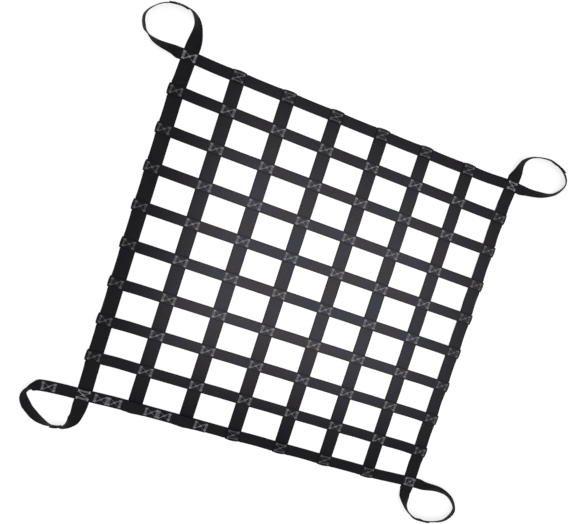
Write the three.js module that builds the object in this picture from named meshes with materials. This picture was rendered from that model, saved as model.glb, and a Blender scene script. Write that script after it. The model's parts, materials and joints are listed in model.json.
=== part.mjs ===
// Cargo lifting net of flat webbing, lying on the ground with a lifting loop at each corner.
// Millimetres. X runs along the cross straps, Y along the long straps, Z is up from the ground.

import * as THREE from 'three';

// Webbing
const thick = 3;
const longWidth = 50; // long straps and side straps
const crossWidth = 38; // cross straps and end straps
const layGap = 0.3; // between two layers that lie on each other
const layStep = thick + layGap;

// Grid of straps
const longCount = 8;
const crossCount = 10;
const longPitch = 176;
const crossPitch = 131;
const skew = -0.0283; // sideways lean of the long straps, per millimetre of Y

// Ends folded round the edge straps
const foldClear = 0.8; // from the edge strap's rim to the centre of the fold
const foldSteps = 4;
const tailShort = 2; // tail stops this far before the edge strap's inner rim

// Slopes between two layers
const rampLength = 40;
const rampStart = 5; // from the rim of the strap that is climbed
const lapRamp = 14;
const lapClear = 3; // from a tail's rim to the level run over it
const lapFoot = longWidth / 2 + lapClear + lapRamp; // from a tail's middle to where the lap starts to climb

// Corner loops
const stepsPerRow = 3;
const cornerLead = 60; // straight run that sets the loop's direction at the corner
const cornerFlat = 14; // loop stays flat this far past the rim of the strap it crosses

// How far each strap lies off the even grid, as laid out: ends of the long straps in X
const longShift = [
  { top: 0, bottom: 1 },
  { top: -1, bottom: -4 },
  { top: 1, bottom: -1 },
  { top: 2, bottom: 0 },
  { top: 2, bottom: 2 },
  { top: -1, bottom: 0 },
  { top: -1, bottom: 1 },
  { top: -3, bottom: -4 },
];

// and ends of the cross straps in Y, from the top row down
const crossShift = [
  { left: -18, right: -10 },
  { left: -2, right: 0 },
  { left: -1, right: 4 },
  { left: 1, right: 0 },
  { left: 0, right: 2 },
  { left: 1, right: -2 },
  { left: -2, right: -3 },
  { left: 0, right: -3 },
  { left: 4, right: -2 },
  { left: 5, right: 1 },
];

// Centre line of each loop from the side strap round to the end strap, measured outwards from
// where the even lines cross: out along X, up along Y. Corner is where the straps really cross.
// Roll is 0 lying flat and 90 standing on the inner edge.
// The side strap stops at row sideStop and the end strap, lapped on its inside, at row endStop.
// The strap is kept straight in the middle of the span after row bearing, where the hook pulls.
const loops = {
  topLeft: {
    signX: -1,
    signY: 1,
    sideStop: 3,
    endStop: 2,
    bearing: 2,
    corner: { out: -6, up: 3 },
    rows: [
      { out: -8, up: 62, roll: 30 },
      { out: 3, up: 108, roll: 70 },
      { out: 41, up: 138, roll: 108 },
      { out: 104, up: 134, roll: 108 },
      { out: 143, up: 110, roll: 108 },
      { out: 166, up: 72, roll: 110 },
      { out: 154, up: 31, roll: 103 },
      { out: 112, up: 4, roll: 58 },
      { out: 50, up: 1, roll: 26 },
    ],
  },
  topRight: {
    signX: 1,
    signY: 1,
    sideStop: 4,
    endStop: 3,
    bearing: 3,
    corner: { out: 11, up: 6 },
    rows: [
      { out: 11, up: 56, roll: 17 },
      { out: 13, up: 94, roll: 48 },
      { out: 45, up: 126, roll: 93 },
      { out: 127, up: 140, roll: 116 },
      { out: 180, up: 123, roll: 116 },
      { out: 211, up: 88, roll: 125 },
      { out: 182, up: 35, roll: 93 },
      { out: 124, up: 10, roll: 51 },
      { out: 68, up: 3, roll: 28 },
    ],
  },
  bottomRight: {
    signX: 1,
    signY: -1,
    sideStop: 3,
    endStop: 2,
    bearing: 3,
    corner: { out: 3, up: -6 },
    rows: [
      { out: 0, up: 48, roll: 20 },
      { out: 27, up: 96, roll: 83 },
      { out: 77, up: 120, roll: 115 },
      { out: 118, up: 122, roll: 115 },
      { out: 189, up: 102, roll: 120 },
      { out: 214, up: 54, roll: 112 },
      { out: 178, up: 6, roll: 75 },
      { out: 124, up: -11, roll: 43 },
      { out: 61, up: -6, roll: 15 },
    ],
  },
  bottomLeft: {
    signX: -1,
    signY: -1,
    sideStop: 3,
    endStop: 2,
    bearing: 4,
    corner: { out: -2, up: 4 },
    rows: [
      { out: -2, up: 58, roll: 22 },
      { out: 3, up: 88, roll: 44 },
      { out: 33, up: 120, roll: 107 },
      { out: 66, up: 127, roll: 107 },
      { out: 112, up: 116, roll: 76 },
      { out: 162, up: 80, roll: 60 },
      { out: 182, up: 47, roll: 74 },
      { out: 169, up: 20, roll: 62 },
      { out: 144, up: 11, roll: 0 },
      { out: 64, up: 5, roll: 0 },
    ],
  },
};

// Splice of the bottom end strap: where its lower length stops in the bottom left loop,
// and where its upper length stops on the bottom edge
const lowerStop = 8;
const upperStopX = -170;

const webbing = new THREE.MeshStandardMaterial({ color: 0x2b2a2e, roughness: 0.85, metalness: 0 });
const up = new THREE.Vector3(0, 0, 1);
const net = new THREE.Group();

// Height of a strap's middle when it lies flat in a layer, the ground layer being 0
function layerHeight(layer) {
  return thick / 2 + layer * layStep;
}

// Closed strap through rectangular sections, each with a centre, a unit vector across and a face normal
function strapGeometry(sections, width) {
  const points = [];
  for (const { centre, across, normal } of sections) {
    for (const [side, face] of [[-1, -1], [1, -1], [1, 1], [-1, 1]]) {
      const corner = centre.clone();
      corner.addScaledVector(across, (side * width) / 2);
      corner.addScaledVector(normal, (face * thick) / 2);
      points.push(corner);
    }
  }
  const triangles = [[0, 1, 2], [0, 2, 3]];
  for (let row = 0; row + 1 < sections.length; row += 1) {
    for (let side = 0; side < 4; side += 1) {
      const a = row * 4 + side;
      const b = row * 4 + ((side + 1) % 4);
      triangles.push([a, a + 4, b + 4], [a, b + 4, b]);
    }
  }
  const last = (sections.length - 1) * 4;
  triangles.push([last, last + 2, last + 1], [last, last + 3, last + 2]);
  let volume = 0;
  for (const [a, b, c] of triangles) {
    volume += points[a].dot(points[b].clone().cross(points[c]));
  }
  if (volume < 0) {
    triangles.forEach((triangle) => triangle.reverse());
  }
  const geometry = new THREE.BufferGeometry().setFromPoints(points);
  geometry.setIndex(triangles.flat());
  geometry.computeVertexNormals();
  return geometry;
}

function addStrap(name, sections, width) {
  const strap = new THREE.Mesh(strapGeometry(sections, width), webbing);
  strap.name = name;
  net.add(strap);
}

// Ends of the centre line of a long or cross strap on the ground
function longLine(index) {
  const half = ((crossCount - 1) * crossPitch) / 2;
  const x = (index - (longCount - 1) / 2) * longPitch;
  return {
    start: new THREE.Vector2(x - skew * half + longShift[index].bottom, -half),
    end: new THREE.Vector2(x + skew * half + longShift[index].top, half),
  };
}

function crossLine(index) {
  const half = ((longCount - 1) * longPitch) / 2;
  const y = ((crossCount - 1) / 2 - index) * crossPitch;
  return {
    start: new THREE.Vector2(-half, y + crossShift[index].left),
    end: new THREE.Vector2(half, y + crossShift[index].right),
  };
}

// Point where two lines cross
function crossing(first, second) {
  const along = first.end.clone().sub(first.start);
  const other = second.end.clone().sub(second.start);
  const apart = second.start.clone().sub(first.start);
  const share = apart.cross(other) / along.cross(other);
  return first.start.clone().addScaledVector(along, share);
}

// Half round fold in the strap's own plane, from one layer to another, past the rim at the given place
function foldKnots(place, outward, fromLayer, toLayer) {
  const low = layerHeight(fromLayer);
  const high = layerHeight(toLayer);
  const radius = Math.abs(high - low) / 2;
  const knots = [];
  for (let step = 0; step <= foldSteps; step += 1) {
    const turn = (Math.PI * step) / foldSteps;
    knots.push({
      at: place + outward * (foldClear + radius * Math.sin(turn)),
      z: (low + high) / 2 - ((high - low) / 2) * Math.cos(turn),
    });
  }
  return knots;
}

// Sections of a strap that keeps to one straight line on the ground and steps between layers
function levelSections(line, knots) {
  const along = line.end.clone().sub(line.start).normalize();
  const across = new THREE.Vector3(-along.y, along.x, 0);
  const places = knots.map(({ at, z }) => {
    return new THREE.Vector3(line.start.x + along.x * at, line.start.y + along.y * at, z);
  });
  return places.map((centre, index) => {
    const before = index > 0 ? centre.clone().sub(places[index - 1]).normalize() : null;
    const after = index + 1 < places.length ? places[index + 1].clone().sub(centre).normalize() : null;
    const tangent = (before ?? after).clone().add(after ?? before).normalize();
    const normal = tangent.clone().cross(across);
    const mitre = 1 / tangent.dot(before ?? after);
    return { centre, across, normal: normal.multiplyScalar(mitre) };
  });
}

// Distance along a line from its start to where another line crosses it
function placeOn(line, other) {
  const along = line.end.clone().sub(line.start).normalize();
  return crossing(line, other).sub(line.start).dot(along);
}

const longLines = Array.from({ length: longCount }, (_, index) => longLine(index));
const crossLines = Array.from({ length: crossCount }, (_, index) => crossLine(index));
const leftLine = longLines[0];
const rightLine = longLines[longCount - 1];
const topLine = crossLines[0];
const bottomLine = crossLines[crossCount - 1];

// Inner long straps lie on the ground under the end straps and fold up and back over them
function addLongStrap(index) {
  const line = longLines[index];
  const bottom = placeOn(line, bottomLine);
  const top = placeOn(line, topLine);
  const rim = crossWidth / 2;
  const knots = [
    { at: bottom + rim - tailShort, z: layerHeight(2) },
    ...foldKnots(bottom - rim, -1, 2, 0),
    ...foldKnots(top + rim, 1, 0, 2),
    { at: top - rim + tailShort, z: layerHeight(2) },
  ];
  addStrap(`long_strap_${index}`, levelSections(line, knots), longWidth);
}

// Inner cross straps lie over the long straps, climb the side straps and fold down and back under them
function addCrossStrap(index) {
  const line = crossLines[index];
  const left = placeOn(line, leftLine);
  const right = placeOn(line, rightLine);
  const rim = longWidth / 2;
  const foot = rim + rampStart + rampLength;
  const knots = [
    { at: left + rim - tailShort, z: layerHeight(0) },
    ...foldKnots(left - rim, -1, 0, 2),
    { at: left + rim + rampStart, z: layerHeight(2) },
    { at: left + foot, z: layerHeight(1) },
    { at: right - foot, z: layerHeight(1) },
    { at: right - rim - rampStart, z: layerHeight(2) },
    ...foldKnots(right + rim, 1, 2, 0),
    { at: right - rim + tailShort, z: layerHeight(0) },
  ];
  addStrap(`cross_strap_${index}`, levelSections(line, knots), crossWidth);
}

// Number of the section at a table row, after the corner and the flat row that come first
function rowStep(row) {
  return (row + 2) * stepsPerRow;
}

// Sections of one loop from the side strap round to the end strap, in the reference layer
function loopSections(loop, origin) {
  const corner = { ...loop.corner, roll: 0 };
  const first = loop.rows[0];
  const final = loop.rows[loop.rows.length - 1];
  const flatUp = corner.up + crossWidth / 2 + cornerFlat;
  const flatOut = corner.out + longWidth / 2 + cornerFlat;
  const shareUp = (flatUp - corner.up) / (first.up - corner.up);
  const shareOut = (flatOut - corner.out) / (final.out - corner.out);
  const rows = [
    corner,
    { out: THREE.MathUtils.lerp(corner.out, first.out, shareUp), up: flatUp, roll: 0 },
    ...loop.rows,
    { out: flatOut, up: THREE.MathUtils.lerp(corner.up, final.up, shareOut), roll: 0 },
    corner,
  ];
  const lead = new THREE.Vector3(corner.out, corner.up - cornerLead, 0);
  const tail = new THREE.Vector3(corner.out - cornerLead, corner.up, 0);
  const points = rows.map(({ out, up: rise }) => new THREE.Vector3(out, rise, 0));
  const curve = new THREE.CatmullRomCurve3([lead, ...points, tail]);
  const samples = [];
  for (let step = 0; step <= (rows.length - 1) * stepsPerRow; step += 1) {
    const row = Math.min(Math.floor(step / stepsPerRow), rows.length - 2);
    const part = step / stepsPerRow - row;
    const share = (1 + row + part) / (rows.length + 1);
    samples.push({
      point: curve.getPoint(share),
      heading: curve.getTangent(share).normalize(),
      roll: THREE.MathUtils.degToRad(THREE.MathUtils.lerp(rows[row].roll, rows[row + 1].roll, part)),
    });
  }
  const flat = samples[rowStep(loop.bearing) + 1];
  const next = samples[rowStep(loop.bearing) + 2];
  flat.heading.copy(next.point).sub(flat.point).normalize();
  next.heading.copy(flat.heading);
  flat.roll = (flat.roll + next.roll) / 2;
  next.roll = flat.roll;
  return samples.map(({ point, heading, roll }, step) => {
    const inward = new THREE.Vector3(heading.y * loop.signX, -heading.x * loop.signY, 0);
    // past the side strap's end the loop stands on the end strap alone
    const alone = THREE.MathUtils.smoothstep(step, rowStep(loop.sideStop), rowStep(loop.sideStop + 1));
    const half = THREE.MathUtils.lerp(longWidth, crossWidth, alone) / 2;
    const leanDrop = alone * layStep * Math.max(0, -Math.cos(roll));
    const lift = half * Math.abs(Math.sin(roll)) + (thick / 2) * Math.abs(Math.cos(roll)) + leanDrop;
    return {
      centre: new THREE.Vector3(origin.x + point.x * loop.signX, origin.y + point.y * loop.signY, lift),
      across: inward.clone().multiplyScalar(Math.cos(roll)).addScaledVector(up, -Math.sin(roll)),
      normal: up.clone().multiplyScalar(Math.cos(roll)).addScaledVector(inward, Math.sin(roll)),
    };
  });
}

// Same sections moved out along their faces by a number of layers
function raised(sections, layerAt) {
  return sections.map((section, index) => ({
    ...section,
    centre: section.centre.clone().addScaledVector(section.normal, layerAt(index) * layStep),
  }));
}

const corners = {
  topLeft: crossing(leftLine, topLine),
  topRight: crossing(rightLine, topLine),
  bottomRight: crossing(rightLine, bottomLine),
  bottomLeft: crossing(leftLine, bottomLine),
};
const loopPaths = {};
for (const [name, loop] of Object.entries(loops)) {
  loopPaths[name] = loopSections(loop, corners[name]);
}

// Level sections between two corners, with the across vector of the loops at both ends
function runSections(line, knots, across) {
  return levelSections(line, knots).map(({ centre, normal }) => ({
    centre,
    across: across.clone(),
    normal: normal.z < 0 ? normal.clone().negate() : normal,
  }));
}

// Side strap's share of a loop
function sidePart(name) {
  return loopPaths[name].slice(0, rowStep(loops[name].sideStop) + 1);
}

// Side straps lie on the tails of the cross straps, dip to the ground at the corners and end in the loops
function addSideStrap(name, line, bottomName, topName) {
  const rim = crossWidth / 2;
  const foot = rim + rampStart;
  const first = placeOn(line, crossLines[crossCount - 2]) - foot;
  const last = placeOn(line, crossLines[1]) + foot;
  const knots = [
    { at: first - rampLength, z: layerHeight(0) },
    { at: first, z: layerHeight(1) },
    { at: last, z: layerHeight(1) },
    { at: last + rampLength, z: layerHeight(0) },
  ];
  const across = loopPaths[topName][0].across;
  const sections = [
    ...sidePart(bottomName).reverse(),
    ...runSections(line, knots, across),
    ...sidePart(topName),
  ];
  addStrap(name, sections, longWidth);
}

for (let index = 1; index < longCount - 1; index += 1) {
  addLongStrap(index);
}
for (let index = 1; index < crossCount - 1; index += 1) {
  addCrossStrap(index);
}
addSideStrap('side_strap_left', leftLine, 'bottomLeft', 'topLeft');
addSideStrap('side_strap_right', rightLine, 'bottomRight', 'topRight');

// End strap's share of a loop from a table row on, in a layer that may change along it
function endPart(name, row, layerAt) {
  return raised(loopPaths[name], layerAt).slice(rowStep(row));
}

// End straps lie over the long straps, and over the side straps at the corners
function addEndStrap(name, line, leftName, leftRow, rightName) {
  const oneUp = () => 1;
  const left = endPart(leftName, leftRow, oneUp);
  const right = endPart(rightName, loops[rightName].endStop, oneUp);
  const knots = [
    { at: placeOn(line, longLines[1]) - lapFoot, z: layerHeight(1) },
    { at: placeOn(line, longLines[longCount - 2]) + lapFoot, z: layerHeight(1) },
  ];
  const across = left[left.length - 1].across;
  addStrap(name, [...left, ...runSections(line, knots, across), ...right.reverse()], crossWidth);
}
addEndStrap('end_strap_top', topLine, 'topLeft', loops.topLeft.endStop, 'topRight');
addEndStrap('end_strap_bottom', bottomLine, 'bottomLeft', lowerStop, 'bottomRight');

// Upper length of the splice, from the bottom left loop over the corner and two folded tails
function addLap() {
  const start = loops.bottomLeft.endStop;
  const climbFrom = rowStep(loops.bottomLeft.sideStop);
  const climbTo = rowStep(lowerStop);
  const layerAt = (step) => 1 + THREE.MathUtils.smoothstep(step, climbFrom, climbTo);
  const knots = [];
  for (const index of [1, 2]) {
    const middle = placeOn(bottomLine, longLines[index]);
    knots.push(
      { at: middle - lapFoot, z: layerHeight(2) },
      { at: middle - lapFoot + lapRamp, z: layerHeight(3) },
      { at: middle + lapFoot - lapRamp, z: layerHeight(3) },
      { at: middle + lapFoot, z: layerHeight(2) },
    );
  }
  knots.push({ at: upperStopX - bottomLine.start.x, z: layerHeight(2) });
  const path = endPart('bottomLeft', start, layerAt);
  const across = path[path.length - 1].across;
  addStrap('end_strap_lap', [...path, ...runSections(bottomLine, knots, across)], crossWidth);
}
addLap();

// Stand the net on the ground with its box centred on the origin
const box = new THREE.Box3().setFromObject(net);
const middle = box.getCenter(new THREE.Vector3());
net.position.set(-middle.x, -middle.y, 0);

export default net;
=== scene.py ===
import json
import math
import random
from bisect import bisect_right

import bmesh
import bpy
from mathutils import Matrix, Quaternion, Vector
from mathutils.bvhtree import BVHTree
from mathutils.geometry import intersect_line_line

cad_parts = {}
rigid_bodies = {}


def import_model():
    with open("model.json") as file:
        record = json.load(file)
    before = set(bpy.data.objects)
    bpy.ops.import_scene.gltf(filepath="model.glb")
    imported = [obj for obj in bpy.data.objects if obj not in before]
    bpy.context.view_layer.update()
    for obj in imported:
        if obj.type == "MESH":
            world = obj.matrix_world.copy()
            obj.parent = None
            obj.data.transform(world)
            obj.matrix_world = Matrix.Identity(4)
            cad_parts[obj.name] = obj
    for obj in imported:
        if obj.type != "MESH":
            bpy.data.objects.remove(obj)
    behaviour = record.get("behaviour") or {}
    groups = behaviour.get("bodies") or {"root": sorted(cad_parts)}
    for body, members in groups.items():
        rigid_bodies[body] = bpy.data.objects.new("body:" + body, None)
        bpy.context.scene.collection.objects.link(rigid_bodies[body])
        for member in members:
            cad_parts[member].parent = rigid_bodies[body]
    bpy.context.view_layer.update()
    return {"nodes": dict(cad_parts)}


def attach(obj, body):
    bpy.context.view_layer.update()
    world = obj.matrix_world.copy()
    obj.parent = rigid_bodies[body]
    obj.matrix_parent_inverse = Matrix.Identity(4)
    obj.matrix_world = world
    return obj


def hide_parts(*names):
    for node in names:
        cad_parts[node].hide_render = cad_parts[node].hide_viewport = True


for old in list(bpy.data.objects):
    bpy.data.objects.remove(old)
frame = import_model()
scene = bpy.context.scene
scene.view_settings.view_transform = "Standard"
print("frame loaded,", len(frame["nodes"]), "strap solids")

photoCamera = {
    "place": (-0.51618, 0.11343, 1.8771),  # nearly straight above the net
    "right": (0.9255, 0.3333, 0.1799),
    "up": (-0.3194, 0.9421, -0.1022),
    "lens": 35.0,
    "sensor": 36.0,
}


def setCamera(facts):
    right = Vector(facts["right"]).normalized()
    back = right.cross(Vector(facts["up"])).normalized()
    turn = Matrix((right, back.cross(right), back)).transposed().to_4x4()
    data = bpy.data.cameras.new("photoCamera")
    data.lens = facts["lens"]
    data.sensor_fit = "HORIZONTAL"
    data.sensor_width = facts["sensor"]
    eye = bpy.data.objects.new("photoCamera", data)
    eye.matrix_world = Matrix.Translation(facts["place"]) @ turn
    scene.collection.objects.link(eye)
    scene.camera = eye


setCamera(photoCamera)
print("camera set")


def put(tree, socket, value):
    # a socket takes either another node's output or a plain number
    if isinstance(value, bpy.types.NodeSocket):
        tree.links.new(value, socket)
    else:
        socket.default_value = value


def calc(tree, operation, first, second=0.0, third=0.0):
    node = tree.nodes.new("ShaderNodeMath")
    node.operation = operation
    for socket, value in zip(node.inputs, (first, second, third)):
        put(tree, socket, value)
    return node.outputs[0]


def ramp(tree, value, fromLow, fromHigh, toLow, toHigh):
    node = tree.nodes.new("ShaderNodeMapRange")
    node.interpolation_type = "SMOOTHSTEP"
    put(tree, node.inputs["Value"], value)
    put(tree, node.inputs["From Min"], fromLow)
    put(tree, node.inputs["From Max"], fromHigh)
    put(tree, node.inputs["To Min"], toLow)
    put(tree, node.inputs["To Max"], toHigh)
    return node.outputs["Result"]


def mixColour(tree, factor, first, second, blend="MIX"):
    node = tree.nodes.new("ShaderNodeMix")
    node.data_type = "RGBA"
    node.blend_type = blend
    put(tree, node.inputs[0], factor)
    put(tree, node.inputs[6], first)
    put(tree, node.inputs[7], second)
    return node.outputs[2]


def ridges(tree, value):
    # one rounded ridge for each whole step of the value
    return calc(tree, "ABSOLUTE", calc(tree, "SINE", calc(tree, "MULTIPLY", value, math.pi)))


def noise(tree, place, scale, detail):
    node = tree.nodes.new("ShaderNodeTexNoise")
    node.inputs["Scale"].default_value = scale
    node.inputs["Detail"].default_value = detail
    tree.links.new(place, node.inputs["Vector"])
    return node.outputs["Fac"]


def uvOf(tree, name):
    node = tree.nodes.new("ShaderNodeUVMap")
    node.uv_map = name
    split = tree.nodes.new("ShaderNodeSeparateXYZ")
    tree.links.new(node.outputs["UV"], split.inputs[0])
    return split.outputs["X"], split.outputs["Y"]


def attributeOf(tree, name):
    node = tree.nodes.new("ShaderNodeAttribute")
    node.attribute_name = name
    return node.outputs["Fac"]


def addBump(tree, shader, height, facts):
    node = tree.nodes.new("ShaderNodeBump")
    node.inputs["Strength"].default_value = facts["bump"]
    node.inputs["Distance"].default_value = facts["relief"]
    tree.links.new(height, node.inputs["Height"])
    tree.links.new(node.outputs["Normal"], shader.inputs["Normal"])


def newMaterial(name):
    material = bpy.data.materials.new(name)
    material.use_nodes = True
    return material, material.node_tree.nodes["Principled BSDF"]


noiseSpan = (0.3, 0.7)  # nearly all of a noise lies between these
# painted pool of light: where the webbing and thread are painted lighter, in the middle of the net
paintedLightPlaces = {
    "x": (-0.654, -0.278, 0.180, 0.902),  # the painted light starts, is full, begins to end and has ended
    "y": (-0.591, -0.145, 0.114, 0.746),
}


def paintedLightOf(tree, facts):
    # painted pool of light: the middle of the net is painted the lightest, falling off towards its
    # edges
    place = tree.nodes.new("ShaderNodeTexCoord")
    split = tree.nodes.new("ShaderNodeSeparateXYZ")
    tree.links.new(place.outputs["Object"], split.inputs[0])
    paintedLight = 1.0
    for axis in ("x", "y"):
        starts, full, ending, ended = facts[axis]
        value = split.outputs[axis.upper()]
        paintedLight = calc(tree, "MULTIPLY", paintedLight, ramp(tree, value, starts, full, 0.0, 1.0))
        paintedLight = calc(tree, "MULTIPLY", paintedLight, ramp(tree, value, ending, ended, 1.0, 0.0))
    return paintedLight, place.outputs["Object"]


webbingFinish = {
    "yarnPitch": 0.00125,  # across the strap
    "floatLength": 0.0036,  # along the strap
    "twillStep": 0.3333,  # of the floats from one yarn to the next
    "floatRound": 0.4,  # lower is flatter on top
    "floatDepth": 0.5,
    "darkFloat": 0.55,  # tone of the darkest float
    # groove and yarn: black webbing with painted shade in the weave's grooves and a painted sheen
    # on the tops of the floats
    "groove": (0.0048, 0.0048, 0.0060, 1.0),
    "yarn": (0.0142, 0.0138, 0.0166, 1.0),
    # the webbing's colours under the painted pool of light in the middle of the net
    "litGroove": (0.0345, 0.0342, 0.0412, 1.0),
    "litYarn": (0.0850, 0.0840, 0.0975, 1.0),
    "wideStrapLight": 0.96,  # how strong the painted pool of light is in the middle of the net
    "narrowStrapLight": 1.10,
    "patchLight": 0.85,  # share of the painted light in the dimmest patches
    "patchScale": 7.0,
    "patchDetail": 5.0,
    "brown": (1.10, 0.98, 0.92, 1.0),
    "blue": (0.95, 0.97, 1.08, 1.0),
    "castSpan": (0.35, 0.65),  # from brown to blue patches
    "selvedge": (0.0015, 0.0060),  # darkest up to here and plain from here, in from the edge
    "selvedgeDark": 0.45,
    "sealDark": 0.85,  # of the melted ends
    "sealGloss": 0.3,
    "sealRelief": 0.2,
    "roughness": (0.62, 0.72),
    "specular": 0.1,
    "bump": 0.6,
    "relief": 0.00035,
}


def webbingMaterial(name, width, strapLight, facts):
    material, shader = newMaterial(name)
    tree = material.node_tree
    along, across = uvOf(tree, "weave")

    # warp yarns side by side, each one a row of floats stepped like a twill
    warp = calc(tree, "DIVIDE", across, facts["yarnPitch"])
    column = calc(tree, "FLOOR", warp)
    lengths = calc(tree, "DIVIDE", along, facts["floatLength"])
    stepped = calc(tree, "MULTIPLY_ADD", column, facts["twillStep"], lengths)
    floats = calc(tree, "POWER", ridges(tree, stepped), facts["floatRound"])
    floats = calc(tree, "MULTIPLY_ADD", floats, facts["floatDepth"], 1 - facts["floatDepth"])
    height = calc(tree, "MULTIPLY", ridges(tree, warp), floats)

    # each float has its own tone
    cell = tree.nodes.new("ShaderNodeCombineXYZ")
    tree.links.new(column, cell.inputs["X"])
    tree.links.new(calc(tree, "FLOOR", stepped), cell.inputs["Y"])
    grain = tree.nodes.new("ShaderNodeTexWhiteNoise")
    grain.noise_dimensions = "2D"
    tree.links.new(cell.outputs[0], grain.inputs["Vector"])
    grainTone = ramp(tree, grain.outputs["Value"], 0.0, 1.0, facts["darkFloat"], 1.0)
    # the weave's height paints shade into the grooves and sheen onto the float tops, with each
    # float's own tone
    tone = calc(tree, "MULTIPLY", height, grainTone)

    # painted pool of light in the middle of the net, and soft patches of warm and cold black
    paintedLight, place = paintedLightOf(tree, paintedLightPlaces)
    patches = noise(tree, place, facts["patchScale"], facts["patchDetail"])
    patchLight = ramp(tree, patches, *noiseSpan, facts["patchLight"] * strapLight, strapLight)
    paintedLightShare = calc(tree, "MULTIPLY", paintedLight, patchLight)
    # painted shade in the grooves between floats and a painted sheen on their tops
    black = mixColour(tree, tone, facts["groove"], facts["yarn"])
    # the same weave colours under the painted pool of light, mixed in by its share
    paintedLit = mixColour(tree, tone, facts["litGroove"], facts["litYarn"])
    colour = mixColour(tree, paintedLightShare, black, paintedLit)
    castShare = ramp(tree, patches, *facts["castSpan"], 0.0, 1.0)
    cast = mixColour(tree, castShare, facts["brown"], facts["blue"])
    colour = mixColour(tree, 1.0, colour, cast, "MULTIPLY")

    # tight dark selvedges and melted ends
    seal = attributeOf(tree, "seal")
    fromEdge = calc(tree, "SUBTRACT", width / 2, calc(tree, "ABSOLUTE", across))
    selvedge = ramp(tree, fromEdge, *facts["selvedge"], facts["selvedgeDark"], 0.0)
    dark = calc(tree, "MAXIMUM", selvedge, calc(tree, "MULTIPLY", seal, facts["sealDark"]))
    colour = mixColour(tree, dark, colour, facts["groove"])
    tree.links.new(colour, shader.inputs["Base Color"])

    rough = ramp(tree, patches, *noiseSpan, *facts["roughness"])
    rough = calc(tree, "SUBTRACT", rough, calc(tree, "MULTIPLY", seal, facts["sealGloss"]))
    tree.links.new(rough, shader.inputs["Roughness"])
    shader.inputs["Specular IOR Level"].default_value = facts["specular"]
    flatten = ramp(tree, seal, 0.0, 1.0, 1.0, facts["sealRelief"])
    addBump(tree, shader, calc(tree, "MULTIPLY", height, flatten), facts)
    return material


threadFinish = {
    "dull": (0.030, 0.030, 0.033, 1.0),
    "shade": (0.197, 0.195, 0.220, 1.0),
    "light": (0.465, 0.460, 0.505, 1.0),
    "twists": 9.0,  # turns of the ply in one stitch
    "plyRound": 0.5,
    "fuzzScale": 90.0,
    "fuzzDetail": 2.0,
    "fuzzTone": 0.6,
    "rimTone": 0.7,  # painted shade on the thread away from the lit middle of the net
    "roughness": (0.40, 0.55),
    "bump": 0.5,
    "relief": 0.0002,
}


def threadMaterial(facts):
    material, shader = newMaterial("paleThread")
    tree = material.node_tree
    along, around = uvOf(tree, "ply")
    ply = ridges(tree, calc(tree, "MULTIPLY_ADD", along, facts["twists"], around))
    paintedLight, place = paintedLightOf(tree, paintedLightPlaces)
    fuzz = noise(tree, place, facts["fuzzScale"], facts["fuzzDetail"])
    fuzzTone = ramp(tree, fuzz, *noiseSpan, facts["fuzzTone"], 1.0)
    tone = calc(tree, "MULTIPLY", calc(tree, "POWER", ply, facts["plyRound"]), fuzzTone)
    colour = mixColour(tree, tone, facts["shade"], facts["light"])
    # the thread is painted darker away from the middle of the net, under the same painted pool of
    # light as the webbing
    rim = ramp(tree, paintedLight, 0.0, 1.0, facts["rimTone"], 1.0)
    paleAndPaintedLight = calc(tree, "MULTIPLY", attributeOf(tree, "pale"), rim)
    tree.links.new(mixColour(tree, paleAndPaintedLight, facts["dull"], colour), shader.inputs["Base Color"])
    rough = ramp(tree, fuzz, *noiseSpan, *facts["roughness"])
    tree.links.new(rough, shader.inputs["Roughness"])
    addBump(tree, shader, ply, facts)
    return material


webbing = {
    "wide": 0.050,
    "narrow": 0.038,
    "thick": 0.0029,
    "layer": 0.0033,  # from one strap to the next that lies on it
    "edgeRound": 0.0014,
    "edgeShares": (0.0, 0.18, 0.5, 1.0),  # columns across the rounding
    "edgeBand": 0.005,  # one more column here
    "endRound": 0.0012,
    "endShares": (0.3, 1.0),  # rows along the rounding
    "thinnest": 0.22,  # share of the thickness at the very edge
    "sealed": 0.003,  # length of a melted end
    "rowStep": 0.008,
    "turnStep": math.radians(10),
    "sag": (-0.0020, -0.0006),  # of a strap that bridges from one crossing to the next
    "lift": (0.0003, 0.0012),  # of a strap that lies on the ground
    "twist": math.radians(1.6),
    "heldFlat": 0.030,  # to each side of a crossing
    "shortest": 0.09,  # a shorter stretch between crossings stays as it is
    "lapEnd": -0.15,  # to the left of this x the lap holds the bottom strap flat
    "foldReach": 0.016,
    "foldCurve": 2.2,
    "longFold": {"drawn": 0.0016, "rounded": 0.0028, "pinch": 0.0046},
    "crossFold": {"drawn": -0.0004, "rounded": 0.0019, "pinch": 0.0026},  # looser
    "pinchEase": (0.004, -0.008),  # starts and is full, out from the edge of a fold
    "bulge": {"height": 0.0009, "beside": 0.005, "reach": 0.008},  # of the edge strap beside a fold
    "pinchReach": 0.02,
    "seed": 5,
}

wideStrapLight, narrowStrapLight = webbingFinish["wideStrapLight"], webbingFinish["narrowStrapLight"]
wideFinish = webbingMaterial("wideWebbing", webbing["wide"], wideStrapLight, webbingFinish)
narrowFinish = webbingMaterial("narrowWebbing", webbing["narrow"], narrowStrapLight, webbingFinish)
paleThread = threadMaterial(threadFinish)
print("materials made")

longStraps = ["long_strap_%d" % n for n in range(1, 7)]
crossStraps = ["cross_strap_%d" % n for n in range(1, 9)]
sideStraps = ["side_strap_left", "side_strap_right"]
endStraps = ["end_strap_bottom", "end_strap_top"]
lapStrap = "end_strap_lap"

solidFacts = {
    "weld": 0.00002,
    "inward": 4,  # edges from a cut end, far enough to tell which way it faces
    "flat": 0.7,  # least rise of the way up where a strap counts as lying flat
    "near": 0.03,  # two straps cross if their rows come this close
    "skip": 3,  # one row in three of the lower strap is looked at
}


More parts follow.
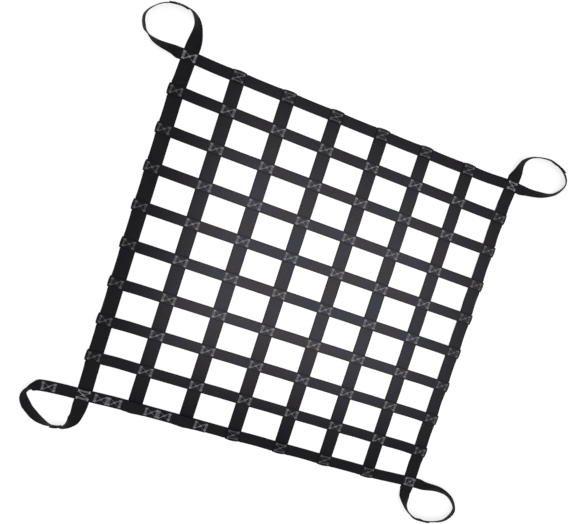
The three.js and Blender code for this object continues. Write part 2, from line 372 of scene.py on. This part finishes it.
def layersFrom(start):
    # vertices by their number of edges from the start, in the same order each run
    seen, layers = set(start), [list(start)]
    while layers[-1]:
        found = {e.other_vert(v) for v in layers[-1] for e in v.link_edges} - seen
        layers.append(sorted(found, key=lambda v: v.index))
        seen.update(found)
    return layers[:-1]


def ringsOf(nodeName, facts):
    # a strap solid is a chain of four-cornered rings, read here from one cut end to the other
    bm = bmesh.new()
    bm.from_mesh(frame["nodes"][nodeName].data)
    bmesh.ops.remove_doubles(bm, verts=bm.verts[:], dist=facts["weld"])
    bm.normal_update()
    bm.verts.index_update()
    bm.verts.ensure_lookup_table()
    tip =layersFrom([bm.verts[0]])[-1][0]
    inner = layersFrom([tip])[facts["inward"]]
    outward = tip.co - sum((v.co for v in inner), Vector()) / len(inner)
    capFace = max(tip.link_faces, key=lambda f: f.normal.dot(outward))
    diagonal = max(capFace.edges, key=lambda e: e.calc_length())
    capVerts = {v for f in diagonal.link_faces for v in f.verts}
    capVerts = sorted(capVerts, key=lambda v: v.index)
    cap =[v.co.copy() for v in capVerts]
    first = cap[0]
    partner, besides, opposite = sorted(cap[1:], key=lambda p: (p - first).length)
    rings = [[first, besides, opposite, partner]]
    for layer in layersFrom(capVerts)[1:]:
        rest = sorted(layer[1:], key=lambda v: (v.co - layer[0].co).length)
        points = [v.co.copy() for v in (layer[0], rest[1], rest[2], rest[0])]
        turns = [points[k:] + points[:k] for k in range(4)]
        turns += [list(reversed(t)) for t in turns]
        rings.append(min(turns, key=lambda t: sum((a - b).length for a, b in zip(t, rings[-1]))))
    bm.free()
    return rings


def between(a, leaving, b, arriving, t):
    # a point of the smooth curve from a to b
    return (
        a * (2 * t ** 3 - 3 * t ** 2 + 1)
        + leaving * (t ** 3 - 2 * t ** 2 + t)
        + b * (3 * t ** 2 - 2 * t ** 3)
        + arriving * (t ** 3 - t ** 2)
    )


def pathOf(nodeName, facts):
    # a finer run of the same strap: the middle, the way across and the way up at each row
    rings = ringsOf(nodeName, solidFacts)
    mids = [sum(r, Vector()) / 4 for r in rings]
    acrosses = [(r[1] + r[2] - r[0] - r[3]).normalized() for r in rings]
    ups = [(r[2] + r[3] - r[0] - r[1]).normalized() for r in rings]
    steps = [b - a for a, b in zip(mids, mids[1:])]
    heads = [(a + b).normalized() for a, b in zip(steps, steps[1:])]
    heads = [steps[0].normalized()] + heads + [steps[-1].normalized()]
    rows = []
    for k, step in enumerate(steps):
        size = step.length
        bend = heads[k].angle(heads[k + 1]) + acrosses[k].angle(acrosses[k + 1])
        count = max(1, math.ceil(size / facts["rowStep"]), math.ceil(bend / facts["turnStep"]))
        shares = [n / count for n in range(count)]
        if k == 0:
            shares += [facts["endRound"] * f / size for f in facts["endShares"]]
        if k == len(steps) - 1:
            shares += [1.0] + [1 - facts["endRound"] * f / size for f in facts["endShares"]]
        for t in sorted(shares):
            mid = between(mids[k], heads[k] * size, mids[k + 1], heads[k + 1] * size, t)
            rows.append([mid, acrosses[k].lerp(acrosses[k + 1], t), ups[k].lerp(ups[k + 1], t)])
    middle = rows[len(rows) // 2]
    ahead = rows[-1][0] - rows[0][0]
    if max(ahead, key=abs) < 0:
        rows.reverse()
    if middle[2].z < 0:
        for row in rows:
            row[2] = -row[2]
    return squared({"rows": rows})


def squared(path):
    # distances along, and the three directions made square to each other
    rows = path["rows"]
    at = [0.0]
    for a, b in zip(rows, rows[1:]):
        at.append(at[-1] + (b[0] - a[0]).length)
    for k, row in enumerate(rows):
        head = (rows[min(k + 1, len(rows) - 1)][0] - rows[max(k - 1, 0)][0]).normalized()
        across = (row[1] - head * row[1].dot(head)).normalized()
        up = head.cross(across)
        turned = 1 if up.dot(row[2]) > 0 else -1
        row[1], row[2] = across * turned, up * turned
    path["at"] = at
    path["length"] = at[-1]
    return path


def laid(path, along, across, height):
    # a point of the flat strap, where it lies on the net
    at, rows = path["at"], path["rows"]
    k = min(max(bisect_right(at, along) - 1, 0), len(at) - 2)
    t = (along - at[k]) / (at[k + 1] - at[k])
    a, b = rows[k], rows[k + 1]
    return a[0].lerp(b[0], t) + a[1].lerp(b[1], t) * across + a[2].lerp(b[2], t) * height


def nearest(path, point):
    # how far along a strap a point of the net lies
    k = min(range(len(path["rows"])), key=lambda n: (path["rows"][n][0] - point).length_squared)
    head = path["rows"][k][1].cross(path["rows"][k][2])
    return path["at"][k] + (point - path["rows"][k][0]).dot(head)


def crossing(upper, lower, facts):
    # how far along the upper strap it passes over the lower one, or None
    best, pair = facts["near"], None
    for k, row in enumerate(upper["rows"]):
        if abs(row[2].z) < facts["flat"]:
            continue
        for other in lower["rows"][::facts["skip"]]:
            gap = (row[0].xy - other[0].xy).length
            if gap < best and row[0].z > other[0].z:
                best, pair = gap, (k, other)
    if pair is None:
        return None
    k, other = pair
    row = upper["rows"][k]
    head, otherHead = row[1].cross(row[2]), other[1].cross(other[2])
    meet = intersect_line_line(row[0], row[0] + head, other[0], other[0] + otherHead)
    return upper["at"][k] + (meet[0] - row[0]).dot(head)


paths = {name: pathOf(name, webbing) for name in sorted(frame["nodes"])}
print("straps read,", sum(len(p["rows"]) for p in paths.values()), "rows")

# where each strap passes over another, as (upper, lower, distance along the upper)
pairs = [(upper, lower) for upper in crossStraps for lower in longStraps + sideStraps]
pairs += [(upper, lower) for upper in longStraps for lower in endStraps]
pairs += [(upper, lower) for upper in endStraps for lower in sideStraps]
overs = [(upper, lower, crossing(paths[upper], paths[lower], solidFacts)) for upper, lower in pairs]
overs = [over for over in overs if over[2] is not None]
print("crossings found,", len(overs))


def heldAt(name):
    # how far along this strap the others pass over or under it
    places = [along for upper, lower, along in overs if upper == name]
    for upper, lower, along in overs:
        if lower == name:
            places.append(nearest(paths[name], laid(paths[upper], along, 0, -webbing["layer"])))
    return sorted(places)


def tighten(name):
    # from each corner to the first cross strap the side strap is drawn straight
    path, held = paths[name], heldAt(name)
    for first, last in (held[:2], held[-2:]):
        a, b = laid(path, first, 0, 0), laid(path, last, 0, 0)
        for k, row in enumerate(path["rows"]):
            share = (path["at"][k] - first) / (last - first)
            if 0 < share < 1:
                row[0].xy = a.xy.lerp(b.xy, share)
    squared(path)


def settle(name, rng, low, high, facts, fromX=-math.inf):
    # between its crossings a strap sags or lifts a little and leans to one side
    path, held, clear = paths[name], heldAt(name), facts["heldFlat"]
    for a, b in zip(held, held[1:]):
        drop, lean = rng.uniform(low, high), rng.uniform(-1, 1) * facts["twist"]
        if b - a < facts["shortest"]:
            continue
        for k, row in enumerate(path["rows"]):
            u = (path["at"][k] - a - clear) / (b - a - 2 * clear)
            if 0 < u < 1 and row[0].x > fromX:
                share = math.sin(math.pi * u) ** 2
                onGround = facts["thick"] / 2 + abs(lean) * share * facts["wide"] / 2
                row[0].z = max(row[0].z + drop * share, onGround)
                turn = Quaternion(row[1].cross(row[2]), lean * share)
                row[1] = turn @ row[1]
                row[2] = turn @ row[2]
    squared(path)


for name in sideStraps:
    tighten(name)
rng = random.Random(webbing["seed"])
for name in crossStraps + sideStraps + ["end_strap_top"]:
    settle(name, rng, *webbing["sag"], webbing)
for name in longStraps:
    settle(name, rng, *webbing["lift"], webbing)
settle("end_strap_bottom", rng, *webbing["sag"], webbing, fromX=webbing["lapEnd"])
print("straps settled")


def columnsOf(width, facts):
    # finer towards the selvedges, which are rounded
    half, r = width / 2, facts["edgeRound"]
    flat = half - facts["edgeBand"]
    side = [half - share * r for share in facts["edgeShares"]] + [flat, flat * 2 / 3, flat / 3]
    return [-v for v in side] + [0.0] + side[::-1]


def quarterRound(depth, radius):
    # share of the full thickness at this depth from a rounded edge
    return math.sqrt(max(0.0, 1 - (1 - min(1.0, depth / radius)) ** 2))


def foldsOf(path):
    # the rows where a strap turns over, each with the way that the fold points
    rows = path["rows"]
    turns = [k for k in range(1, len(rows)) if (rows[k - 1][2].z < 0) != (rows[k][2].z < 0)]
    middle = rows[len(rows) // 2][0]
    return [(path["at"][k], (rows[k][0] - middle).normalized()) for k in turns]


def pinchesOn(name, facts):
    # folded ends that hold this strap: how far along, half their width, the outer side, how hard
    path, found = paths[name], []
    for upper, lower, along in overs:
        if lower == name and upper in longStraps + crossStraps:
            rows = paths[upper]["rows"]
            spot = laid(paths[upper], along, 0, 0)
            outward = (spot - rows[len(rows) // 2][0]).normalized()
            at = nearest(path, spot)
            across = laid(path, at, 1, 0) - laid(path, at, 0, 0)
            half = facts["wide" if upper in longStraps else "narrow"] / 2
            fold = facts["longFold" if upper in longStraps else "crossFold"]
            found.append((at, half, 1 if across.dot(outward) > 0 else -1, fold["pinch"]))
    return found


def pinched(pinches, along, across, half, facts):
    # inside a fold the edge strap is drawn in, and just beside it the strap swells a little
    starts, full = facts["pinchEase"]
    bulge = facts["bulge"]
    drawIn = 0.0
    for at, foldHalf, side, pinch in pinches:
        beyond = abs(along - at) - foldHalf
        if across * side > 0 and beyond < facts["pinchReach"]:
            near = min(1.0, max(0.0, (starts - beyond) / (starts - full)))
            swell = math.exp(-((beyond - bulge["beside"]) / bulge["reach"]) ** 2)
            drawIn += side * pinch * near * near * (3 - 2 * near)
            drawIn -= side * bulge["height"] * swell
    return across - drawIn * (across / half) ** 2


def addPiece(name, bm, finish):
    mesh = bpy.data.meshes.new(name)
    bm.to_mesh(mesh)
    bm.free()
    mesh.materials.append(finish)
    piece = bpy.data.objects.new(name, mesh)
    scene.collection.objects.link(piece)
    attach(piece, "root")
    return piece


def strapPiece(name, width, finish, facts):
    path = paths[name]
    rows, at, half = path["rows"], path["at"], width / 2
    folds = foldsOf(path) if name in longStraps + crossStraps else []
    fold = facts["longFold" if name in longStraps else "crossFold"]
    pinches = pinchesOn(name, facts) if name in sideStraps + endStraps else []
    columns = columnsOf(width, facts)
    bm = bmesh.new()
    bmesh.ops.create_grid(bm, x_segments=len(rows) - 1, y_segments=len(columns) - 1, size=0.5)
    spot = bm.verts.layers.int.new("spot")
    seal = bm.verts.layers.float.new("seal")
    bm.verts.ensure_lookup_table()
    for n, v in enumerate(bm.verts):
        v[spot] = n
    made = bmesh.ops.extrude_face_region(bm, geom=bm.faces[:], use_keep_orig=True)
    upper = {g for g in made["geom"] if isinstance(g, bmesh.types.BMVert)}

    # both faces of the sheet go to their places, thinner at the rounded edges
    for v in bm.verts:
        row, column = v[spot] % len(rows), columns[v[spot] // len(rows)]
        mid, across, up = rows[row]
        fromEnd = min(at[row], path["length"] - at[row])
        share = quarterRound(half - abs(column), facts["edgeRound"])
        share *= quarterRound(fromEnd, facts["endRound"])
        thick = facts["thick"] / 2 * max(facts["thinnest"], share)
        aside = pinched(pinches, at[row], column, half, facts)
        v.co = mid + across * aside + up * (thick if v in upper else -thick)
        for turn, outward in folds:
            near = max(0.0, 1 - (abs(at[row] - turn) / facts["foldReach"]) ** 2)
            rounded = fold["rounded"] * abs(column / half) ** facts["foldCurve"]
            v.co -= outward * near * (fold["drawn"] + rounded)
        v[seal] = max(0.0, 1 - fromEnd / facts["sealed"])
    bmesh.ops.recalc_face_normals(bm, faces=bm.faces[:])
    weave = bm.loops.layers.uv.new("weave")
    for face in bm.faces:
        face.smooth = True
        for loop in face.loops:
            n = loop.vert[spot]
            loop[weave].uv = (at[n % len(rows)], columns[n // len(rows)])
    bm.verts.layers.int.remove(spot)
    piece = addPiece(name + "_cloth", bm, finish)
    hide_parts(name)
    return piece


cloths = {}
for name in longStraps + sideStraps:
    cloths[name] = strapPiece(name, webbing["wide"], wideFinish, webbing)
for name in crossStraps + endStraps + [lapStrap]:
    cloths[name] = strapPiece(name, webbing["narrow"], narrowFinish, webbing)
print("straps made,", sum(len(c.data.polygons) for c in cloths.values()), "faces")

stitch = {
    "sides": 5,
    "radius": 0.00050,
    # along, height and thickness, with its ends drawn down into the cloth
    "arch": [(-0.5, -0.9, 0.75), (-0.28, 0.35, 1.0), (0.28, 0.35, 1.0), (0.5, -0.9, 0.75)],
}


def stitchMesh(facts):
    # one arched stitch, one unit long
    bm = bmesh.new()
    facing = Matrix.Rotation(math.pi / 2, 4, "Y")
    made = bmesh.ops.create_circle(bm, segments=facts["sides"], radius=1.0, matrix=facing)["verts"]
    edges = bm.edges[:]
    lastX, lastZ, lastSize = 0.0, 0.0, 1.0
    for k, (x, z, size) in enumerate(facts["arch"]):
        if k > 0:
            new = bmesh.ops.extrude_edge_only(bm, edges=edges)["geom"]
            made = [g for g in new if isinstance(g, bmesh.types.BMVert)]
            edges = [g for g in new if isinstance(g, bmesh.types.BMEdge)]
            edges = [e for e in edges if all(v in made for v in e.verts)]
        back = Matrix.Translation((-lastX, 0, -lastZ))
        grow = Matrix.Diagonal((1, size / lastSize, size / lastSize, 1))
        bmesh.ops.transform(bm, verts=made, matrix=Matrix.Translation((x, 0, z)) @ grow @ back)
        lastX, lastZ, lastSize = x, z, size
    bmesh.ops.holes_fill(bm, edges=bm.edges[:], sides=facts["sides"])
    bmesh.ops.recalc_face_normals(bm, faces=bm.faces[:])
    ply = bm.loops.layers.uv.new("ply")
    for face in bm.faces:
        face.smooth = True
        for loop in face.loops:
            p = loop.vert.co
            loop[ply].uv = (p.x, math.atan2(p.z, p.y) / math.tau)
    mesh = bpy.data.meshes.new("stitch")
    bm.to_mesh(mesh)
    bm.free()
    return mesh


oneStitch = stitchMesh(stitch)

sewing = {
    "tackWidth": 0.0100,  # the thick ends of the bars
    "tackLength": 0.0060,
    "tackInside": 0.85,  # share of that length that lies on the bar
    "tackPitch": 0.0010,
    "tackLift": 0.00045,
    "tackTone": 0.84,
    "barTone": 0.60,  # the thread looks duller away from the thick ends
    "lineWidth": (0.0012, 0.0034),  # of the lower and of the upper line of the X
    "linePitch": (0.0022, 0.0012),
    "lineTone": (0.82, 0.76),
    "lineOverBar": 0.4,  # share of a bar's width that the lines run over it
    "lineInset": 0.0015,  # from the ends of the bars
    "heap": {"width": 0.0046, "lift": 0.00075, "reach": 0.11},  # where the two lines cross
}

# spread is from bar to bar, bar is a bar's length
bowTies = {
    "narrowTie": {  # cross strap on a long strap, the lap and the top left corner
        "spread": 0.0378, "bar": 0.0255, "barWidth": 0.0102, "barPitch": 0.0014,
    },
    "sideTie": {  # cross strap round a side strap
        "spread": 0.0335, "bar": 0.0250, "barWidth": 0.0080, "barPitch": 0.0015,
        "lineTone": (0.95, 0.75),
    },
    "wideTie": {  # long strap round an end strap
        "spread": 0.0245, "bar": 0.0375, "barWidth": 0.0048, "barPitch": 0.0012,
        "upperLine": -1,  # the other line of the X lies on top
    },
    "turnedTie": {  # bottom left corner
        "spread": 0.0250, "bar": 0.0400, "barWidth": 0.0070, "barPitch": 0.0013,
        "turned": True,
    },
    "smallTie": {  # top right corner
        "spread": 0.0235, "bar": 0.0335, "barWidth": 0.0065, "barPitch": 0.0013,
        "turned": True,
    },
    "boxTie": {  # bottom right corner
        "spread": 0.0340, "bar": 0.0270, "barWidth": 0.0080, "barPitch": 0.0014,
        "boxed": True,
    },
    "lapTie": {  # inside a loop
        "spread": 0.0220, "bar": 0.0245, "barWidth": 0.0080, "barPitch": 0.0017,
        "lineTone": (0.95, 0.75),
    },
}


def zigzag(start, end, width, pitch, tone, lift=0.0, heap=None):
    # stitches that step from side to side along a line
    start, end = Vector(start), Vector(end)
    run = end - start
    count = max(2, round(run.length / pitch))
    side = Vector((-run.y, run.x)).normalized() / 2
    stitches = []
    for k in range(count):
        a, b = start + run * (k / count), start + run * ((k + 1) / count)
        wide, rise, shade = width, lift, tone
        if heap:
            # wider, higher and paler at the middle of the line
            heaped = math.exp(-((k / count - 0.5) / heap["reach"]) ** 2)
            wide += heap["width"] * heaped
            rise += heap["lift"] * heaped
            shade += (1 - tone) * heaped
        step = side * wide * (1 if k % 2 == 0 else -1)
        stitches.append((a - step, b + step, rise, shade))
    return stitches


def tieStitches(tie, facts):
    # two bars across and a crossed pair of lines between them
    half, reach = tie["spread"] / 2, tie["bar"] / 2
    barFacts = (tie["barWidth"], tie["barPitch"], facts["barTone"])
    tackFacts = (facts["tackWidth"], facts["tackPitch"], facts["tackTone"], facts["tackLift"])
    stitches = []
    for x in (-half, half):
        stitches += zigzag((x, -reach), (x, reach), *barFacts)
        for y in (-reach, reach):
            out = facts["tackLength"] * (1 if y > 0 else -1)
            start = y - out * facts["tackInside"]
            stitches += zigzag((x, start), (x, start + out), *tackFacts)
    if tie.get("boxed"):
        for y in (-reach, reach):
            stitches += zigzag((-half, y), (half, y), *barFacts)
    x = half - tie["barWidth"] * facts["lineOverBar"]
    y = (reach - facts["lineInset"]) * tie.get("upperLine", 1)
    tones = tie.get("lineTone", facts["lineTone"])
    lower, upper = zip(facts["lineWidth"], facts["linePitch"], tones)
    stitches += zigzag((-x, y), (x, -y), *lower)
    stitches += zigzag((-x, -y), (x, y), *upper, heap=facts["heap"])
    return stitches


def bowTieMesh(name, tie):
    bm = bmesh.new()
    pale = bm.verts.layers.float.new("pale")
    for a, b, rise, shade in tieStitches(tie, sewing):
        bm.from_mesh(oneStitch)
        bm.verts.ensure_lookup_table()
        run = b - a
        place = Matrix.Translation(((a.x + b.x) / 2, (a.y + b.y) / 2, rise))
        turn = Matrix.Rotation(math.atan2(run.y, run.x), 4, "Z")
        size = Matrix.Diagonal((run.length, stitch["radius"], stitch["radius"], 1))
        verts = bm.verts[-len(oneStitch.vertices):]
        bmesh.ops.transform(bm, verts=verts, matrix=place @ turn @ size)
        for v in verts:
            v[pale] = shade
    if tie.get("turned"):
        bmesh.ops.rotate(bm, verts=bm.verts[:], matrix=Matrix.Rotation(math.pi / 2, 3, "Z"))
    mesh = bpy.data.meshes.new(name)
    bm.to_mesh(mesh)
    bm.free()
    return mesh


tieMeshes = {name: bowTieMesh(name, tie) for name, tie in bowTies.items()}

tiePlaces = {
    "shift": {  # from the middle of the crossing
        "middle": 0.0016,
        "side_strap_left": -0.0026,
        "side_strap_right": 0.0020,
    },
    "corners": {  # kind and tone
        ("end_strap_top", "side_strap_left"): ("narrowTie", "corner"),
        ("end_strap_top", "side_strap_right"): ("smallTie", "corner"),
        ("end_strap_bottom", "side_strap_left"): ("turnedTie", "corner"),
        ("end_strap_bottom", "side_strap_right"): ("boxTie", "box"),
    },
    "underLap": [("long_strap_1", "end_strap_bottom"), ("long_strap_2", "end_strap_bottom")],
    "lapHeight": 0.008,
    "lap": [  # x and y of the ties along the lap
        (-0.7319, -0.5973),
        (-0.5601, -0.5873),
        (-0.5152, -0.5905),
        (-0.3895, -0.5909),
        (-0.3446, -0.5892),
        (-0.2142, -0.5895),
    ],
    "loops": [  # distance along the strap, from its far end where below zero
        ("end_strap_top", 0.031),
        ("end_strap_top", -0.028),
        ("end_strap_bottom", -0.0205),
        (lapStrap, 0.017),
    ],
    "pale": {
        "middle": 0.95,
        "side_strap_left": 0.40,
        "side_strap_right": 0.57,
        "end_strap_top": 0.56,
        "end_strap_bottom": 0.43,
        "corner": 1.4,
        "box": 0.95,
        "lap": 1.0,
        "loop": 0.30,
    },
    "underside": 0.35,  # how far the thread stands out below, as a share
    "belowAll": -0.1,
    "turn": 0.04,  # how far a tie may be out, by hand
    "along": 0.0008,
    "aside": 0.0006,
    "seed": 11,
}


def tieFor(upper, lower):
    # the kind of tie at a crossing, and the group that gives its tone
    if upper in endStraps:
        return tiePlaces["corners"][upper, lower]
    if upper in longStraps:
        return "wideTie", lower
    return ("sideTie", lower) if lower in sideStraps else ("narrowTie", "middle")


# every bow-tie, by the strap that it shows on
sewn = {name: [] for name in crossStraps + longStraps + endStraps + [lapStrap]}
for upper, lower, along in overs:
    if (upper, lower) in tiePlaces["underLap"]:
        continue
    kind, group = tieFor(upper, lower)
    if kind == "turnedTie":
        corner = laid(paths[upper], along, 0, webbing["layer"])
        sewn[lapStrap].append((kind, group, nearest(paths[lapStrap], corner)))
    else:
        sewn[upper].append((kind, group, along + tiePlaces["shift"].get(group, 0.0)))
for x, y in tiePlaces["lap"]:
    spot = Vector((x, y, tiePlaces["lapHeight"]))
    sewn[lapStrap].append(("narrowTie", "lap", nearest(paths[lapStrap], spot)))
for strapName, along in tiePlaces["loops"]:
    sewn[strapName].append(("lapTie", "loop", along % paths[strapName]["length"]))


def treeOf(pieces):
    bm = bmesh.new()
    for piece in pieces:
        bm.from_mesh(piece.data)
    tree = BVHTree.FromBMesh(bm)
    bm.free()
    return tree


def sewnPiece(strapName, places, rng, clothTree, facts):
    # each bow-tie goes through all the straps below it and shows on the underside too
    path, skin = paths[strapName], webbing["thick"] / 2
    bm = bmesh.new()
    for kind, group, along in places:
        turn = rng.uniform(-facts["turn"], facts["turn"])
        shift = along + rng.uniform(-facts["along"], facts["along"])
        aside = rng.uniform(-facts["aside"], facts["aside"])
        standing = kind == "lapTie"
        upward = laid(path, along, 0, 1).z > laid(path, along, 0, 0).z
        facing = 1 if standing or upward else -1
        for below in (False, True):
            start = len(bm.verts)
            bm.from_mesh(tieMeshes[kind])
            bm.verts.ensure_lookup_table()
            pale = bm.verts.layers.float["pale"]
            verts = bm.verts[start:]
            bmesh.ops.rotate(bm, verts=verts, matrix=Matrix.Rotation(turn, 3, "Z"))
            for v in verts:
                x, y, z = v.co
                z *= facts["underside"] if standing else 1.0
                v[pale] *= facts["pale"][group]
                v.co = laid(path, shift + x, (y + aside) * facing, (skin + z) * facing)
                if below and standing:
                    v.co = laid(path, shift + x, y + aside, -skin - webbing["layer"] - z)
                elif below:
                    under = Vector((v.co.x, v.co.y, facts["belowAll"]))
                    ground = clothTree.ray_cast(under, Vector((0, 0, 1)))[0]
                    v.co.z = ground.z - z * facts["underside"]
            if below:
                faces = list({f for v in verts for f in v.link_faces})
                bmesh.ops.reverse_faces(bm, faces=faces)
    return addPiece("stitching_" + strapName, bm, paleThread)


clothTree = treeOf(cloths.values())
rng = random.Random(tiePlaces["seed"])
stitching = {}
for name in sorted(sewn):
    stitching[name] = sewnPiece(name, sewn[name], rng, clothTree, tiePlaces)
tieCount = sum(len(places) for places in sewn.values())
threadFaces = sum(len(piece.data.polygons) for piece in stitching.values())
print("bow-ties sewn,", tieCount, "with", threadFaces, "faces")

print("sheets declared,", len(cloths))

studio = {
    "floorReach": 12.0,
    "floorSides": 64,
    "floorTop": -0.0005,
    "floorGlow": 0.74,  # a lit table
    "floorTone": 0.38,
    "floorRoughness": 0.9,
    "dome": 0.45,
    "keyPlace": (0.10, 0.0, 3.2),
    "keyAim": (0.05, 0.0, 0.0),
    "keySize": (2.8, 2.4),
    "keyPower": 58.0,
}


def setStudio(facts):
    white = (1, 1, 1, 1)
    bm = bmesh.new()
    reach, sides = facts["floorReach"], facts["floorSides"]
    bmesh.ops.create_circle(bm, cap_ends=True, segments=sides, radius=reach)
    bmesh.ops.translate(bm, verts=bm.verts[:], vec=(0, 0, facts["floorTop"]))
    mesh = bpy.data.meshes.new("floor")
    bm.to_mesh(mesh)
    bm.free()
    material, shader = newMaterial("paleFloor")
    shader.inputs["Base Color"].default_value = (facts["floorTone"],) * 3 + (1,)
    shader.inputs["Roughness"].default_value = facts["floorRoughness"]
    shader.inputs["Emission Color"].default_value = white
    shader.inputs["Emission Strength"].default_value = facts["floorGlow"]
    mesh.materials.append(material)
    floor = bpy.data.objects.new("floor", mesh)
    scene.collection.objects.link(floor)

    world = bpy.data.worlds.new("softDome")
    world.use_nodes = True
    sky = world.node_tree.nodes["Background"]
    sky.inputs["Color"].default_value = white
    sky.inputs["Strength"].default_value = facts["dome"]
    scene.world = world

    data = bpy.data.lights.new("overheadKey", "AREA")
    data.shape = "ELLIPSE"
    data.size, data.size_y = facts["keySize"]
    data.energy = facts["keyPower"]
    key = bpy.data.objects.new("overheadKey", data)
    key.location = facts["keyPlace"]
    aim = Vector(facts["keyAim"]) - key.location
    key.rotation_euler = aim.to_track_quat("-Z", "Y").to_euler()
    scene.collection.objects.link(key)


setStudio(studio)
print("studio set")
